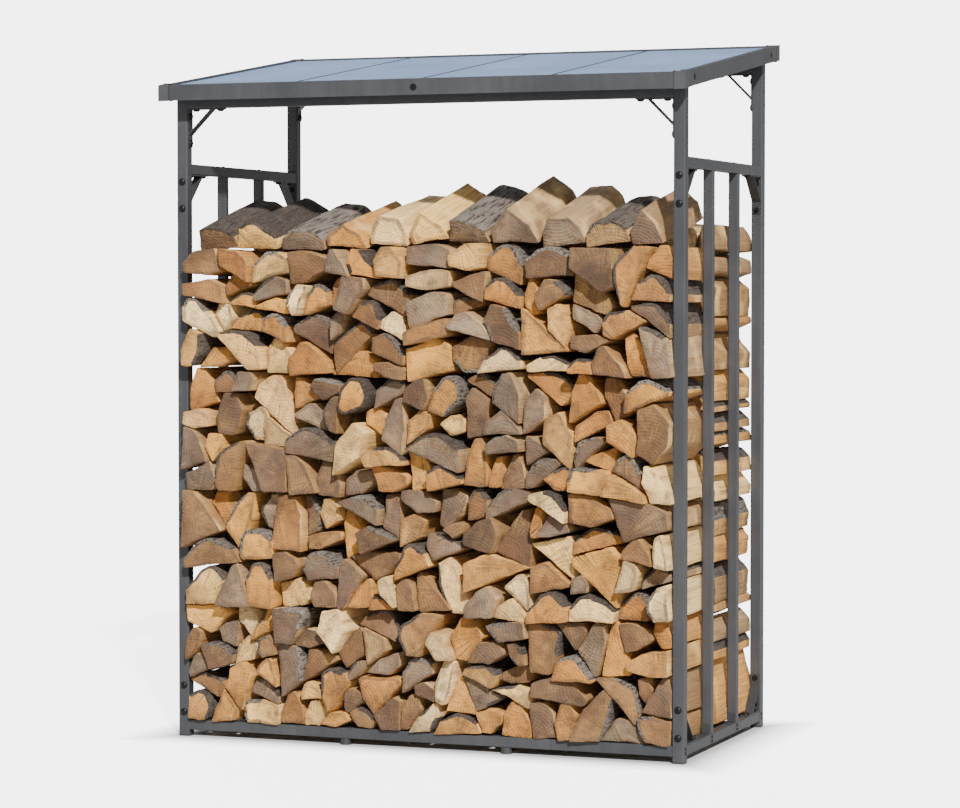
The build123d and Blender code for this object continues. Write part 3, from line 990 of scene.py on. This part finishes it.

# Floor: pale, and bright to the camera outside the store's own footprint; the glow fades out over the
# footprint, a painted shadow under the store
floor_mesh = bpy.data.meshes.new("floor")
floor_bm = bmesh.new()
bmesh.ops.create_grid(floor_bm, x_segments=1, y_segments=1, size=floor_reach)
floor_bm.to_mesh(floor_mesh)
floor_bm.free()
floor = bpy.data.objects.new("floor", floor_mesh)
bpy.context.scene.collection.objects.link(floor)
pale, pale_tree, pale_shader = new_material("pale floor")
pale_shader.inputs["Base Color"].default_value = grey(floor_tone)
pale_shader.inputs["Emission Color"].default_value = grey(1.0)
pale_shader.inputs["Roughness"].default_value = floor_roughness
floor_place = split_vector(pale_tree, object_place(pale_tree))
beside = [
    math_node(pale_tree, "SUBTRACT", math_node(pale_tree, "ABSOLUTE", floor_place[axis]), half)
    for axis, half in enumerate(posts[("right", "back")][1].xy)
]
# Painted shadow: no glow over the store's footprint, full glow beyond the fade distance round it
out_of_painted_shadow = math_node(pale_tree, "DIVIDE", math_node(pale_tree, "MAXIMUM", *beside), painted_shadow_fade, True)
glow = times(pale_tree, out_of_painted_shadow, floor_glow)
floor_seen = add_node(pale_tree, "ShaderNodeLightPath").outputs["Is Camera Ray"]
pale_tree.links.new(times(pale_tree, glow, floor_seen), pale_shader.inputs["Emission Strength"])
floor_mesh.materials.append(pale)

# Sky, brighter where the camera sees it
world = bpy.data.worlds.new("studio")
world.use_nodes = True
sky_tree = world.node_tree
sky = sky_tree.nodes["Background"]
sky.inputs["Color"].default_value = grey(1.0)
sky_seen = add_node(sky_tree, "ShaderNodeLightPath").outputs["Is Camera Ray"]
lift = times(sky_tree, sky_seen, backdrop_strength - sky_strength)
sky_tree.links.new(math_node(sky_tree, "ADD", lift, sky_strength), sky.inputs["Strength"])
bpy.context.scene.world = world

# Lamps: only the key light leaves a highlight
for name, way, strength, spread in (
    ("key", sun_way, sun_strength, sun_spread), ("fill", fill_way, fill_strength, fill_spread),
    ("back", back_way, back_strength, back_spread),
):
    light = bpy.data.lights.new(name, "SUN")
    light.energy = strength
    light.angle = math.radians(spread)
    lamp = bpy.data.objects.new(name, light)
    lamp.visible_glossy = name == "key"
    lamp.rotation_euler = Vector(way).to_track_quat("-Z", "Y").to_euler()
    bpy.context.scene.collection.objects.link(lamp)

camera_data = bpy.data.cameras.new("camera")
camera_data.sensor_width = sensor_width
camera_data.lens = camera_lens
camera_data.clip_end = camera_reach
camera = bpy.data.objects.new("camera", camera_data)
camera.location = camera_place
camera.rotation_euler = (math.radians(90 - camera_pitch), 0, math.radians(camera_yaw))
bpy.context.scene.collection.objects.link(camera)
bpy.context.scene.camera = camera
